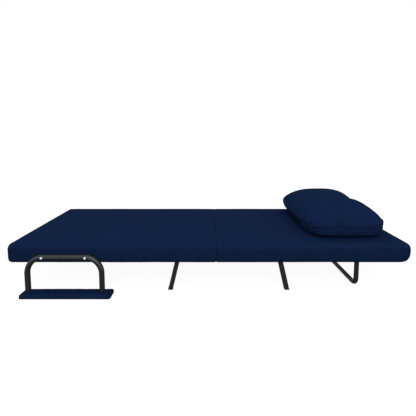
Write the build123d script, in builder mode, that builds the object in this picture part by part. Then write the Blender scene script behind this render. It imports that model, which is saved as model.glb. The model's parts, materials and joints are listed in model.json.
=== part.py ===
"""Convertible futon sofa bed, laid flat as a single bed.

Three upholstered sections in a row (foot, base, back) on a tubular steel frame. The foot section turns
up and over onto the base, which brings its two arm bows up as armrests. The back section lifts on two
ratchet hinges. Millimetres, +Z up, +X towards the head end. The origin is on the floor, under the middle
of the mattress. Left (-Y) and right (+Y) are those of somebody sitting on it as a chair, facing -X.
"""
import os
from math import cos, radians, sin, tan

from build123d import *

# Driving dimensions -------------------------------------------------------------------------------
LENGTH = 1930.0            # mattress, foot end to head end
WIDTH = 635.0              # mattress, side to side
UNDERSIDE_Z = 146.0        # bottom of the upholstery above the floor
TOP_Z = 228.0              # flat top of the upholstery
COVER_T = 2.0              # cover fabric with its fleece backing
FLIP_X = -316.0            # axis on which the foot section folds over
BACK_X = 400.0             # axis on which the back section reclines
PIVOT_Z = TOP_Z + 0.5      # both axes, just above the flat top
SEAM_X = 30.0              # where the two base covers are sewn together
FIT_GAP = 0.2              # between layers that lie on each other
SECTION_GAP = 0.4          # from a hinge axis to the upholstery beside it

TUBE_R = 12.5              # frame and arm bow tube, 25 mm
TUBE_WALL = 1.5
RAIL_Z = 186.0             # centre of the frame tubes
RAIL_Y = 283.0             # centre of the side rails
BEND_R = 60.0              # frame corners
END_INSET = 34.5           # end tube's centre from the end of the mattress
BAR_BORE = 2.0 * TUBE_R - 2.0 * TUBE_WALL

LEG_SIDE = 22.0            # square tube of the four base legs
LEG_Y = 275.0
LEG_TOP_X = (-153.5, 330.0)
LEG_SPLAY = 13.5           # degrees away from upright, outwards along the length
PLATE_T = 3.0              # steel plate, all brackets

HEAD_LEG_X = 721.0
HEAD_LEG_Y = 254.0
HEAD_LEG_R = 11.0
HEAD_LEG_BEND = 34.0

BOW_X = (-856.0, -509.0)   # centre-lines of an arm bow's two uprights
BOW_TOP_Z = 184.0          # centre-line of its bar
BOW_BEND = 76.0
BOW_Y = WIDTH / 2.0 + 0.3 + TUBE_R
BOLT_X = (-781.0, -580.0)  # bolts through the bow into the foot rail
BOW_BOLT_R = 4.0
SPACER_R = 8.0             # sleeves on those bolts, between rail and bow

PAD_X = (-882.0, -460.0)   # arm pad
PAD_Y = (306.0, 368.0)
PAD_TOP_Z = 20.0
PAD_SKIN = 1.5
BOARD_T = 8.0
TAB_T = 2.5                # steel tabs under the ends of a bow

PIN_R = 2.5
PIN_CLEAR = 0.05           # running clearance on every pin
HINGE_Y = RAIL_Y + TUBE_R  # inner face of the plates welded to the outside of a rail
LEAF_GAP = 0.5
MOVING_Y = HINGE_Y + PLATE_T + LEAF_GAP
SLOT_Y = (291.0, 307.0)    # room left in foam and covers for a hinge

SECTOR_R = 38.0            # ratchet sector under the back axis
NOTCHES = 5
BACK_RANGE = 75.0          # degrees from flat to the most upright stop
FIRST_NOTCH = -92.0        # direction of the first notch from the axis, degrees from +X
NOTCH_W = 6.0
NOTCH_DEPTH = 5.0
PAWL_PIVOT_R = 50.0        # pawl pin from the back axis
PAWL_PIVOT_ANGLE = -62.0
PAWL_SWING = 11.0          # degrees between clear and engaged
PAWL_PIN_R = 2.0

PILLOW_X = (484.0, 880.0)
PILLOW_Y = (-240.0, 290.0)
PILLOW_Z = (TOP_Z + 0.4, 394.0)

# Worked-out places --------------------------------------------------------------------------------
SIDES = {"left": -1, "right": 1}
HALF_W = WIDTH / 2.0
FOOT_END = -LENGTH / 2.0
HEAD_END = LENGTH / 2.0
FLOOR_IN = UNDERSIDE_Z + COVER_T           # inside of the bottom fabric
RAIL_TOP = RAIL_Z + TUBE_R
RAIL_BOTTOM = RAIL_Z - TUBE_R
WEB_Z = RAIL_TOP + 0.1
WEB_T = 1.5
UPPER_Z = WEB_Z + WEB_T + FIT_GAP
PAWL_X = BACK_X + PAWL_PIVOT_R * cos(radians(PAWL_PIVOT_ANGLE))
PAWL_Z = PIVOT_Z + PAWL_PIVOT_R * sin(radians(PAWL_PIVOT_ANGLE))
FOOT_BARS = (-690.0, FLIP_X - 100.0)
BASE_BARS = (LEG_TOP_X[0], (LEG_TOP_X[0] + LEG_TOP_X[1]) / 2.0, LEG_TOP_X[1])
BACK_BARS = (BACK_X + 120.0, HEAD_LEG_X)

os.makedirs("parts", exist_ok=True)


def write(piece, name):
    """Label a finished piece and write its STEP file."""
    piece.label = name
    export_step(piece, f"parts/{name}.step")


def side_plane(side, inner_y):
    """A plane facing outwards at a distance from the middle, its x along +X on the left side."""
    return Plane(origin=(0, side * inner_y, 0), x_dir=(1, 0, 0), z_dir=(0, side, 0))


def flip_z(side, z):
    """Height as the y of a side plane: that y points up on the left side and down on the right."""
    return -side * z


def both(x, y, z):
    """The same place on the left and on the right side."""
    return [(x, side * y, z) for side in SIDES.values()]


# Upholstery ---------------------------------------------------------------------------------------
EDGE_R = 18.0              # rounding along the sides of the mattress
FOOT_ROUND = 12.0          # rounding of the square-cut foot end
HEAD_CORNER = 32.0         # head end's corners seen from above
HINGE_SLOT = 80.0          # room for the flip plates and ratchets, from the axis
ARM_SLOT = 120.0           # room for the longer back arms
SKIN_SLOT = 26.0           # slot in the top fabric for the eyes of the plates
EYE_ROOM = 8.0             # radius left free round an axis


def head_limits(end_x, inset):
    """Two long blocks that share the head end's half-round side and its corners from above."""
    half = (TOP_Z - UNDERSIDE_Z) / 2.0 - inset
    with BuildPart() as from_side:
        with BuildSketch(Plane.XZ.offset(-WIDTH)):
            with Locations((end_x - LENGTH, (UNDERSIDE_Z + TOP_Z) / 2.0)):
                RectangleRounded(2 * LENGTH, 2 * half, half - 0.5)
        extrude(amount=2 * WIDTH)
    with BuildPart() as from_above:
        with BuildSketch():
            with Locations((end_x - LENGTH, 0)):
                RectangleRounded(2 * LENGTH, WIDTH - 2 * inset, HEAD_CORNER - inset)
        extrude(amount=2 * TOP_Z)
    return from_side.part, from_above.part


def upholstery_block(x_low, x_high, inset, foot_end=False, head_end=False):
    """The mattress between two places, drawn in on its sides and closed ends by inset."""
    low = x_low + (inset if foot_end else 0.0)
    high = x_high - (inset if head_end else 0.0)
    with BuildPart() as block:
        with BuildSketch(Plane.YZ.offset(low)):
            with Locations((0, (UNDERSIDE_Z + TOP_Z) / 2.0)):
                RectangleRounded(WIDTH - 2 * inset, TOP_Z - UNDERSIDE_Z - 2 * inset, EDGE_R - inset)
        extrude(amount=high - low)
        if foot_end:
            fillet(block.faces().sort_by(Axis.X)[0].edges(), FOOT_ROUND - inset)
        if head_end:
            for limit in head_limits(high, inset):
                add(limit, mode=Mode.INTERSECT)
    return block.part


def cut_hinge_room(axis_x, towards, length, in_skin):
    """Slots for the hinge plates: deep ones in foam, and a short one in the top fabric."""
    slot_w = SLOT_Y[1] - SLOT_Y[0]
    slot_y = (SLOT_Y[0] + SLOT_Y[1]) / 2.0
    with Locations(*both(axis_x, slot_y, PIVOT_Z)):
        Cylinder(EYE_ROOM, slot_w, rotation=(90, 0, 0), mode=Mode.SUBTRACT)
    if in_skin:
        reach, low, high = SKIN_SLOT, TOP_Z - 6.0, TOP_Z + 1.0
    else:
        reach, low, high = length, RAIL_BOTTOM - 4.0, TOP_Z
    with Locations(*both(axis_x + towards * reach / 2.0, slot_y, (low + high) / 2.0)):
        Box(reach, slot_w, high - low, mode=Mode.SUBTRACT)


def cut_rail_grooves(x_low, x_high, bars):
    """Grooves for straight side rails and cross bars, open to the top of the lower foam."""
    low = RAIL_BOTTOM - 1.0
    with Locations(*both((x_low + x_high) / 2.0, RAIL_Y, (low + RAIL_TOP + 5.0) / 2.0)):
        Box(x_high - x_low, 2 * TUBE_R + 3.0, RAIL_TOP + 5.0 - low, mode=Mode.SUBTRACT)
    with Locations(*[(x, 0, (low + RAIL_TOP + 5.0) / 2.0) for x in bars]):
        Box(2 * TUBE_R + 3.0, 2 * RAIL_Y, RAIL_TOP + 5.0 - low, mode=Mode.SUBTRACT)


def end_groove(end_x, towards):
    """The room that the bent end of a U-shaped frame takes in the foam."""
    centre = end_x + towards * END_INSET
    clear = TUBE_R + 1.5
    with BuildPart() as groove:
        with BuildSketch(Plane.XY.offset(RAIL_BOTTOM - 1.0)):
            with Locations((centre + towards * RAIL_Y, 0)):
                RectangleRounded(2 * (RAIL_Y + clear), 2 * (RAIL_Y + clear), BEND_R + clear)
                RectangleRounded(2 * (RAIL_Y - clear), 2 * (RAIL_Y - clear), BEND_R - clear,
                                 mode=Mode.SUBTRACT)
            with Locations((centre + towards * RAIL_Y * 1.5, 0)):
                Rectangle(RAIL_Y, 3 * RAIL_Y, mode=Mode.SUBTRACT)
        extrude(amount=RAIL_TOP - RAIL_BOTTOM + 6.0)
    return groove.part


# Foot section upholstery
foot_shell = upholstery_block(FOOT_END, FLIP_X - SECTION_GAP, 0.0, foot_end=True)
foot_hollow = upholstery_block(FOOT_END, FLIP_X, COVER_T, foot_end=True)
foot_core = upholstery_block(FOOT_END, FLIP_X - SECTION_GAP, COVER_T + FIT_GAP, foot_end=True)

with BuildPart() as foot_cover:
    add(foot_shell)
    add(foot_hollow, mode=Mode.SUBTRACT)
    cut_hinge_room(FLIP_X, -1, HINGE_SLOT, in_skin=True)
    for bolt_x in BOLT_X:
        with Locations(*both(bolt_x, HALF_W, RAIL_Z)):
            Cylinder(SPACER_R + 0.3, 20.0, rotation=(90, 0, 0), mode=Mode.SUBTRACT)
write(foot_cover.part, "foot_cover")

foot_groove = end_groove(FOOT_END, 1)
with BuildPart() as foot_foam_lower:
    add(foot_core)
    split(bisect_by=Plane.XY.offset(RAIL_TOP), keep=Keep.BOTTOM)
    cut_rail_grooves(FOOT_END + END_INSET + RAIL_Y / 2.0, FLIP_X, FOOT_BARS)
    add(foot_groove, mode=Mode.SUBTRACT)
    cut_hinge_room(FLIP_X, -1, HINGE_SLOT, in_skin=False)
    for bolt_x in BOLT_X:
        with Locations(*both(bolt_x, HALF_W - 11.0, RAIL_Z)):
            Box(17.0, 30.0, 17.0, mode=Mode.SUBTRACT)
write(foot_foam_lower.part, "foot_foam_lower")

with BuildPart() as foot_foam_upper:
    add(foot_core)
    split(bisect_by=Plane.XY.offset(UPPER_Z), keep=Keep.TOP)
    cut_hinge_room(FLIP_X, -1, HINGE_SLOT, in_skin=False)
write(foot_foam_upper.part, "foot_foam_upper")

# Base section upholstery
BASE_LOW = FLIP_X + SECTION_GAP
BASE_HIGH = BACK_X - SECTION_GAP
base_core = upholstery_block(BASE_LOW, BASE_HIGH, COVER_T + FIT_GAP)


def leg_hole_x(top_x):
    """Middle of a leg where it goes through the bottom fabric."""
    outward = 1 if top_x > BASE_BARS[1] else -1
    return top_x + outward * (RAIL_BOTTOM - UNDERSIDE_Z) * tan(radians(LEG_SPLAY))


for cover_name, x_low, x_high in (("base_cover_front", BASE_LOW, SEAM_X - 0.1),
                                  ("base_cover_rear", SEAM_X + 0.1, BASE_HIGH)):
    sleeve_outside = upholstery_block(x_low, x_high, 0.0)
    sleeve_inside = upholstery_block(x_low - 1.0, x_high + 1.0, COVER_T)
    with BuildPart() as sleeve:
        add(sleeve_outside)
        add(sleeve_inside, mode=Mode.SUBTRACT)
        if cover_name == "base_cover_front":
            cut_hinge_room(FLIP_X, 1, HINGE_SLOT, in_skin=True)
        else:
            cut_hinge_room(BACK_X, -1, HINGE_SLOT, in_skin=True)
        for top_x in LEG_TOP_X:
            if x_low < top_x < x_high:
                with Locations(*both(leg_hole_x(top_x), LEG_Y, UNDERSIDE_Z)):
                    Box(34.0, 26.0, 8.0, mode=Mode.SUBTRACT)
    write(sleeve.part, cover_name)

with BuildPart() as base_foam_lower:
    add(base_core)
    split(bisect_by=Plane.XY.offset(RAIL_TOP), keep=Keep.BOTTOM)
    cut_rail_grooves(FLIP_X, BACK_X, BASE_BARS)
    cut_hinge_room(FLIP_X, 1, HINGE_SLOT, in_skin=False)
    cut_hinge_room(BACK_X, -1, HINGE_SLOT, in_skin=False)
    for top_x in LEG_TOP_X:
        with Locations(*both(top_x, 257.0, (UNDERSIDE_Z + RAIL_BOTTOM) / 2.0)):
            Box(66.0, 68.0, RAIL_BOTTOM - UNDERSIDE_Z + 2.0, mode=Mode.SUBTRACT)
write(base_foam_lower.part, "base_foam_lower")

with BuildPart() as base_foam_upper:
    add(base_core)
    split(bisect_by=Plane.XY.offset(UPPER_Z), keep=Keep.TOP)
    cut_hinge_room(FLIP_X, 1, HINGE_SLOT, in_skin=False)
    cut_hinge_room(BACK_X, -1, HINGE_SLOT, in_skin=False)
write(base_foam_upper.part, "base_foam_upper")

# Back section upholstery, with a half-round head end
back_shell = upholstery_block(BACK_X + SECTION_GAP, HEAD_END, 0.0, head_end=True)
back_hollow = upholstery_block(BACK_X, HEAD_END, COVER_T, head_end=True)
back_core = upholstery_block(BACK_X + SECTION_GAP, HEAD_END, COVER_T + FIT_GAP, head_end=True)

with BuildPart() as back_cover:
    add(back_shell)
    add(back_hollow, mode=Mode.SUBTRACT)
    cut_hinge_room(BACK_X, 1, ARM_SLOT, in_skin=True)
    with Locations(*both(HEAD_LEG_X, HEAD_LEG_Y, UNDERSIDE_Z)):
        Cylinder(HEAD_LEG_R + 1.0, 8.0, mode=Mode.SUBTRACT)
write(back_cover.part, "back_cover")

back_groove = end_groove(HEAD_END, -1)
with BuildPart() as back_foam_lower:
    add(back_core)
    split(bisect_by=Plane.XY.offset(RAIL_TOP), keep=Keep.BOTTOM)
    cut_rail_grooves(BACK_X, HEAD_END - END_INSET - RAIL_Y / 2.0, BACK_BARS)
    add(back_groove, mode=Mode.SUBTRACT)
    cut_hinge_room(BACK_X, 1, ARM_SLOT, in_skin=False)
    with Locations(*both(HEAD_LEG_X, 240.0, (UNDERSIDE_Z + RAIL_BOTTOM) / 2.0)):
        Box(38.0, 70.0, RAIL_BOTTOM - UNDERSIDE_Z + 2.0, mode=Mode.SUBTRACT)
write(back_foam_lower.part, "back_foam_lower")

with BuildPart() as back_foam_upper:
    add(back_core)
    split(bisect_by=Plane.XY.offset(UPPER_Z), keep=Keep.TOP)
    cut_hinge_room(BACK_X, 1, ARM_SLOT, in_skin=False)
write(back_foam_upper.part, "back_foam_upper")

# Elastic webbing ----------------------------------------------------------------------------------
STRAP_W = 50.0


def webbing(name, x_low, x_high, count):
    """Straps across the side rails, evenly spaced between two places."""
    pitch = (x_high - x_low) / (count - 1)
    with BuildPart() as straps:
        with Locations(*[(x_low + pitch * i, 0, WEB_Z + WEB_T / 2.0) for i in range(count)]):
            Box(STRAP_W, 2 * RAIL_Y, WEB_T)
    write(straps.part, name)


webbing("foot_webbing", FOOT_END + 100.0, FLIP_X - 60.0, 6)
webbing("base_webbing", FLIP_X + 60.0, BACK_X - 60.0, 6)
webbing("back_webbing", BACK_X + 70.0, HEAD_END - 100.0, 5)

# Steel frames -------------------------------------------------------------------------------------
FRAME_BOLT_R = 3.0         # leg bolts
LEG_BOLT_Y = (237.0, 253.0)
HEAD_BOLT_Y = (218.0, 233.0)


def add_cross_bars(bars):
    """Square cross bars let into the side rails."""
    with Locations(*[(x, 0, RAIL_Z) for x in bars]):
        Box(2 * TUBE_R, 2 * RAIL_Y, 2 * TUBE_R)


def bore_cross_bars(bars, bolt_places):
    """Hollow out the bars and drill them from below, for bolts or as vents."""
    with Locations(*[(x, 0, RAIL_Z) for x in bars]):
        Box(BAR_BORE, 2 * (RAIL_Y - TUBE_R - 4.0), BAR_BORE, mode=Mode.SUBTRACT)
    drilled = {place[0] for place in bolt_places}
    vents = [(x, 0) for x in bars if x not in drilled]
    with Locations(*[(x, y, RAIL_BOTTOM) for x, y in list(bolt_places) + vents]):
        Cylinder(FRAME_BOLT_R + 0.1, 10.0, mode=Mode.SUBTRACT)


def u_path(open_x, end_x, towards):
    """Centre-line of a U frame: open ends at open_x, bent end inside end_x."""
    bend_x = end_x + towards * END_INSET
    with BuildLine(Plane.XY.offset(RAIL_Z)) as path:
        FilletPolyline((open_x, -RAIL_Y), (bend_x, -RAIL_Y), (bend_x, RAIL_Y), (open_x, RAIL_Y),
                       radius=BEND_R)
    return path.line


def bolt_grid(xs, ys):
    """Bolt places on both sides under the cross bars."""
    return [(x, side * y) for x in xs for y in ys for side in SIDES.values()]


foot_path = u_path(FLIP_X - 8.0, FOOT_END, 1)
with BuildPart() as foot_frame:
    with BuildSketch(foot_path ^ 0):
        Circle(TUBE_R)
    sweep(path=foot_path)
    add_cross_bars(FOOT_BARS)
    with BuildSketch(foot_path ^ 0):
        Circle(TUBE_R - TUBE_WALL)
    sweep(path=foot_path, mode=Mode.SUBTRACT)
    bore_cross_bars(FOOT_BARS, [])
    with Locations(*both(BOLT_X[0], RAIL_Y + TUBE_R, RAIL_Z), *both(BOLT_X[1], RAIL_Y + TUBE_R, RAIL_Z)):
        Cylinder(BOW_BOLT_R + 0.1, 10.0, rotation=(90, 0, 0), mode=Mode.SUBTRACT)
write(foot_frame.part, "foot_frame")

BACK_RAIL_X = BACK_X + 50.0
back_path = u_path(BACK_RAIL_X, HEAD_END, -1)
with BuildPart() as back_frame:
    with BuildSketch(back_path ^ 0):
        Circle(TUBE_R)
    sweep(path=back_path)
    add_cross_bars(BACK_BARS)
    with BuildSketch(back_path ^ 0):
        Circle(TUBE_R - TUBE_WALL)
    sweep(path=back_path, mode=Mode.SUBTRACT)
    bore_cross_bars(BACK_BARS, bolt_grid([HEAD_LEG_X], HEAD_BOLT_Y))
write(back_frame.part, "back_frame")

base_rail_length = BACK_X - FLIP_X - 20.0
base_middle_x = (FLIP_X + BACK_X) / 2.0
with BuildPart() as base_frame:
    with Locations(*both(base_middle_x, RAIL_Y, RAIL_Z)):
        Cylinder(TUBE_R, base_rail_length, rotation=(0, 90, 0))
    add_cross_bars(BASE_BARS)
    with Locations(*both(base_middle_x, RAIL_Y, RAIL_Z)):
        Cylinder(TUBE_R - TUBE_WALL, base_rail_length, rotation=(0, 90, 0), mode=Mode.SUBTRACT)
    bore_cross_bars(BASE_BARS, bolt_grid(LEG_TOP_X, LEG_BOLT_Y))
write(base_frame.part, "base_frame")

# Plastic caps pushed into the open ends of the base rails
CAP_T = 2.0
CAP_PLUG = 12.0
with BuildPart() as base_rail_caps:
    for end, rail_end in ((-1, base_middle_x - base_rail_length / 2.0),
                          (1, base_middle_x + base_rail_length / 2.0)):
        with Locations(*both(rail_end + end * CAP_T / 2.0, RAIL_Y, RAIL_Z)):
            Cylinder(TUBE_R, CAP_T, rotation=(0, 90, 0))
        with Locations(*both(rail_end - end * CAP_PLUG / 2.0, RAIL_Y, RAIL_Z)):
            Cylinder(TUBE_R - TUBE_WALL - 0.1, CAP_PLUG, rotation=(0, 90, 0))
write(base_rail_caps.part, "base_rail_caps")

# Base legs ----------------------------------------------------------------------------------------
LEG_PLATE_Y = (226.0, 289.0)
FOOT_T = 3.0               # flange of the plastic foot under a leg


def leg_plane(top_x, y):
    """Plane across a leg at its top, facing down along the leg."""
    outward = 1 if top_x > BASE_BARS[1] else -1
    lean = radians(LEG_SPLAY)
    return Plane(origin=(top_x, y, RAIL_BOTTOM), x_dir=(0, 1, 0), z_dir=(outward * sin(lean), 0, -cos(lean)))


leg_length = (RAIL_BOTTOM + 20.0) / cos(radians(LEG_SPLAY))
for end_name, top_x in (("front", LEG_TOP_X[0]), ("rear", LEG_TOP_X[1])):
    for side_name, side in SIDES.items():
        with BuildPart() as leg:
            with BuildSketch(leg_plane(top_x, side * LEG_Y).offset(-10.0)):
                Rectangle(LEG_SIDE, LEG_SIDE)
                Rectangle(LEG_SIDE - 3.0, LEG_SIDE - 3.0, mode=Mode.SUBTRACT)
            extrude(amount=leg_length)
            split(bisect_by=Plane.XY.offset(RAIL_BOTTOM - PLATE_T), keep=Keep.BOTTOM)
            split(bisect_by=Plane.XY.offset(FOOT_T), keep=Keep.TOP)
            with Locations((top_x, side * sum(LEG_PLATE_Y) / 2.0, RAIL_BOTTOM - PLATE_T / 2.0)):
                Box(60.0, LEG_PLATE_Y[1] - LEG_PLATE_Y[0], PLATE_T)
            with Locations(*[(top_x, side * y, RAIL_BOTTOM) for y in LEG_BOLT_Y]):
                Cylinder(FRAME_BOLT_R + 0.1, 10.0, mode=Mode.SUBTRACT)
        write(leg.part, f"leg_{end_name}_{side_name}")

foot_run = RAIL_BOTTOM / cos(radians(LEG_SPLAY))
with BuildPart() as leg_feet:
    for top_x in LEG_TOP_X:
        outward = 1 if top_x > BASE_BARS[1] else -1
        floor_x = top_x + outward * RAIL_BOTTOM * tan(radians(LEG_SPLAY))
        for side in SIDES.values():
            with BuildSketch(leg_plane(top_x, side * LEG_Y).offset(foot_run - 25.0)):
                Rectangle(LEG_SIDE - 3.4, LEG_SIDE - 3.4)
            extrude(amount=40.0)
            with Locations((floor_x, side * LEG_Y, FOOT_T / 2.0)):
                Box(LEG_SIDE + 1.5, LEG_SIDE + 1.0, FOOT_T)
    split(bisect_by=Plane.XY, keep=Keep.TOP)
write(leg_feet.part, "leg_feet")


def plate_bolts(places):
    """Hexagon head bolts up through a bracket into a cross bar."""
    with Locations(*[(x, y, RAIL_BOTTOM - PLATE_T - 2.0) for x, y in places]):
        Cylinder(5.0, 4.0)
    with Locations(*[(x, y, RAIL_BOTTOM + 3.0) for x, y in places]):
        Cylinder(FRAME_BOLT_R, 12.0)


def plate_nuts(places):
    """Weld nuts inside the cross bar, one on each bolt."""
    with Locations(*[(x, y, RAIL_BOTTOM + TUBE_WALL + 2.6) for x, y in places]):
        Cylinder(5.5, 5.0)
        Cylinder(FRAME_BOLT_R + 0.1, 5.0, mode=Mode.SUBTRACT)


leg_bolt_places = bolt_grid(LEG_TOP_X, LEG_BOLT_Y)
with BuildPart() as leg_bolts:
    plate_bolts(leg_bolt_places)
write(leg_bolts.part, "leg_bolts")

with BuildPart() as leg_nuts:
    plate_nuts(leg_bolt_places)
write(leg_nuts.part, "leg_nuts")

# Head leg: one U of tube standing under the back section ------------------------------------------
HEAD_PLATE_Y = (210.0, 267.0)
head_leg_top = RAIL_BOTTOM - PLATE_T
with BuildLine(Plane.YZ.offset(HEAD_LEG_X)) as head_leg_run:
    FilletPolyline((-HEAD_LEG_Y, head_leg_top), (-HEAD_LEG_Y, HEAD_LEG_R), (HEAD_LEG_Y, HEAD_LEG_R),
                   (HEAD_LEG_Y, head_leg_top), radius=HEAD_LEG_BEND)
with BuildPart() as head_leg:
    with BuildSketch(head_leg_run.line ^ 0):
        Circle(HEAD_LEG_R)
        Circle(HEAD_LEG_R - TUBE_WALL, mode=Mode.SUBTRACT)
    sweep(path=head_leg_run.line)
    with Locations(*both(HEAD_LEG_X, sum(HEAD_PLATE_Y) / 2.0, RAIL_BOTTOM - PLATE_T / 2.0)):
        Box(32.0, HEAD_PLATE_Y[1] - HEAD_PLATE_Y[0], PLATE_T)
    with Locations(*[(x, y, RAIL_BOTTOM) for x, y in bolt_grid([HEAD_LEG_X], HEAD_BOLT_Y)]):
        Cylinder(FRAME_BOLT_R + 0.1, 10.0, mode=Mode.SUBTRACT)
    with Locations(*both(HEAD_LEG_X, HEAD_LEG_Y - HEAD_LEG_R - 1.0, 90.0)):
        Cylinder(2.0, 8.0, rotation=(90, 0, 0), mode=Mode.SUBTRACT)
write(head_leg.part, "head_leg")

head_bolt_places = bolt_grid([HEAD_LEG_X], HEAD_BOLT_Y)
with BuildPart() as head_leg_bolts:
    plate_bolts(head_bolt_places)
write(head_leg_bolts.part, "head_leg_bolts")

with BuildPart() as head_leg_nuts:
    plate_nuts(head_bolt_places)
write(head_leg_nuts.part, "head_leg_nuts")

# Arm bows -----------------------------------------------------------------------------------------
TAB_Z = PAD_TOP_Z - PAD_SKIN - TAB_T       # underside of the tabs, which is the top of the board
bow_foot_z = TAB_Z + TAB_T
TAB_X = 42.0
TAB_Y = 30.0
SCREW_R = 2.0
SCREW_OFFSET = 17.0
BOW_CAP_R = 5.6
BOW_CAP_T = 2.8
NUT_DEPTH = 6.0


def bow_screws():
    """Places of the screws through the tabs, two beside each upright."""
    return [x + offset for x in BOW_X for offset in (-SCREW_OFFSET, SCREW_OFFSET)]


for side_name, side in SIDES.items():
    with BuildLine(Plane.XZ.offset(-side * BOW_Y)) as bow_run:
        FilletPolyline((BOW_X[0], bow_foot_z), (BOW_X[0], BOW_TOP_Z), (BOW_X[1], BOW_TOP_Z),
                       (BOW_X[1], bow_foot_z), radius=BOW_BEND)
    with BuildPart() as bow:
        with BuildSketch(bow_run.line ^ 0):
            Circle(TUBE_R)
            Circle(TUBE_R - TUBE_WALL, mode=Mode.SUBTRACT)
        sweep(path=bow_run.line)
        with Locations(*[(x, side * BOW_Y, TAB_Z + TAB_T / 2.0) for x in BOW_X]):
            Box(TAB_X, TAB_Y, TAB_T)
        with Locations(*[(x, side * BOW_Y, TAB_Z) for x in bow_screws()]):
            Cylinder(SCREW_R + 0.1, 10.0, mode=Mode.SUBTRACT)
        with Locations(*[(x, side * BOW_Y, RAIL_Z) for x in BOLT_X]):
            Cylinder(BOW_BOLT_R + 0.1, 40.0, rotation=(90, 0, 0), mode=Mode.SUBTRACT)
        with Locations(*[(x, side * BOW_Y, TAB_Z) for x in BOW_X]):
            Cylinder(5.0, 10.0, mode=Mode.SUBTRACT)
    write(bow.part, f"arm_bow_{side_name}")

sleeve_low = HINGE_Y
sleeve_high = BOW_Y - TUBE_R
with BuildPart() as bow_spacers:
    for bolt_x in BOLT_X:
        with Locations(*both(bolt_x, (sleeve_low + sleeve_high) / 2.0, RAIL_Z)):
            Cylinder(SPACER_R, sleeve_high - sleeve_low, rotation=(90, 0, 0))
            Cylinder(BOW_BOLT_R + 0.1, sleeve_high - sleeve_low, rotation=(90, 0, 0), mode=Mode.SUBTRACT)
write(bow_spacers.part, "bow_spacers")

bolt_head_y = BOW_Y + TUBE_R
nut_y = RAIL_Y + TUBE_R - TUBE_WALL - 2.2 - NUT_DEPTH / 2.0
bolt_tip_y = nut_y - NUT_DEPTH / 2.0 - 1.0
with BuildPart() as bow_bolts:
    for bolt_x in BOLT_X:
        with Locations(*both(bolt_x, (bolt_tip_y + bolt_head_y) / 2.0, RAIL_Z)):
            Cylinder(BOW_BOLT_R, bolt_head_y - bolt_tip_y, rotation=(90, 0, 0))
write(bow_bolts.part, "bow_bolts")

with BuildPart() as bow_bolt_caps:
    for bolt_x in BOLT_X:
        for side in SIDES.values():
            with BuildSketch(side_plane(side, bolt_head_y)):
                with Locations((bolt_x, flip_z(side, RAIL_Z))):
                    Circle(BOW_CAP_R)
            extrude(amount=BOW_CAP_T)
    fillet(bow_bolt_caps.faces().group_by(SortBy.AREA)[-1].edges().filter_by(GeomType.CIRCLE), 0.4)
write(bow_bolt_caps.part, "bow_bolt_caps")

with BuildPart() as bow_nuts:
    for bolt_x in BOLT_X:
        with Locations(*both(bolt_x, nut_y, RAIL_Z)):
            Cylinder(6.0, NUT_DEPTH, rotation=(90, 0, 0))
            Cylinder(BOW_BOLT_R + 0.1, NUT_DEPTH, rotation=(90, 0, 0), mode=Mode.SUBTRACT)
write(bow_nuts.part, "bow_nuts")

# Arm pads: board, foam and cover ------------------------------------------------------------------
pad_length = PAD_X[1] - PAD_X[0]
pad_width = PAD_Y[1] - PAD_Y[0]
pad_x = sum(PAD_X) / 2.0
pad_y = sum(PAD_Y) / 2.0
PAD_CORNER = 9.0
BOARD_Z = TAB_Z - BOARD_T


def pad_outline(inset):
    """The pad's outline seen from above."""
    RectangleRounded(pad_length - 2 * inset, pad_width - 2 * inset, PAD_CORNER - inset)


for side_name, side in SIDES.items():
    with BuildPart() as pad_board:
        with BuildSketch(Plane.XY.offset(BOARD_Z)):
            with Locations((pad_x, side * pad_y)):
                pad_outline(PAD_SKIN + 0.2)
        extrude(amount=BOARD_T)
        with Locations(*[(x, side * BOW_Y, TAB_Z) for x in bow_screws()]):
            Cylinder(SCREW_R + 0.1, 20.0, mode=Mode.SUBTRACT)
    write(pad_board.part, f"arm_pad_board_{side_name}")

    with BuildPart() as pad_foam:
        with BuildSketch(Plane.XY.offset(PAD_SKIN + 0.1)):
            with Locations((pad_x, side * pad_y)):
                pad_outline(PAD_SKIN + 0.2)
        extrude(amount=BOARD_Z - PAD_SKIN - 0.3)
    write(pad_foam.part, f"arm_pad_foam_{side_name}")

    with BuildPart() as pad_cover:
        with BuildSketch():
            with Locations((pad_x, side * pad_y)):
                pad_outline(0.0)
        extrude(amount=PAD_TOP_Z + 0.2)
        with BuildSketch(Plane.XY.offset(PAD_SKIN)):
            with Locations((pad_x, side * pad_y)):
                pad_outline(PAD_SKIN)
        extrude(amount=PAD_TOP_Z - 2 * PAD_SKIN + 0.1, mode=Mode.SUBTRACT)
        with Locations(*[(x, side * BOW_Y, PAD_TOP_Z) for x in BOW_X]):
            Cylinder(TUBE_R + 0.2, 8.0, mode=Mode.SUBTRACT)
    write(pad_cover.part, f"arm_pad_cover_{side_name}")

with BuildPart() as pad_screws:
    for x in bow_screws():
        with Locations(*both(x, BOW_Y, BOARD_Z + (bow_foot_z - BOARD_Z) / 2.0 + 0.3)):
            Cylinder(SCREW_R, bow_foot_z - BOARD_Z - 0.6)
write(pad_screws.part, "pad_screws")

# Hinge plates -------------------------------------------------------------------------------------
EYE_R = 4.6
WELD_Z = (RAIL_Z - 8.0, RAIL_Z + 8.0)      # band of a plate that lies on the rail
WELD_MID = sum(WELD_Z) / 2.0


def plate_hull(side, axis_x, near_x, far_x, eye_r):
    """Plate outline from a hinge eye down to the band along a rail, without its pin hole."""
    with Locations((axis_x, flip_z(side, PIVOT_Z))):
        Circle(eye_r)
    with Locations(((near_x + far_x) / 2.0, flip_z(side, WELD_MID))):
        Rectangle(abs(far_x - near_x), WELD_Z[1] - WELD_Z[0])
    make_hull()


def pin_hole(side, x, z, radius):
    """A hole through a plate sketch."""
    with Locations((x, flip_z(side, z))):
        Circle(radius + PIN_CLEAR, mode=Mode.SUBTRACT)


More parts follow.
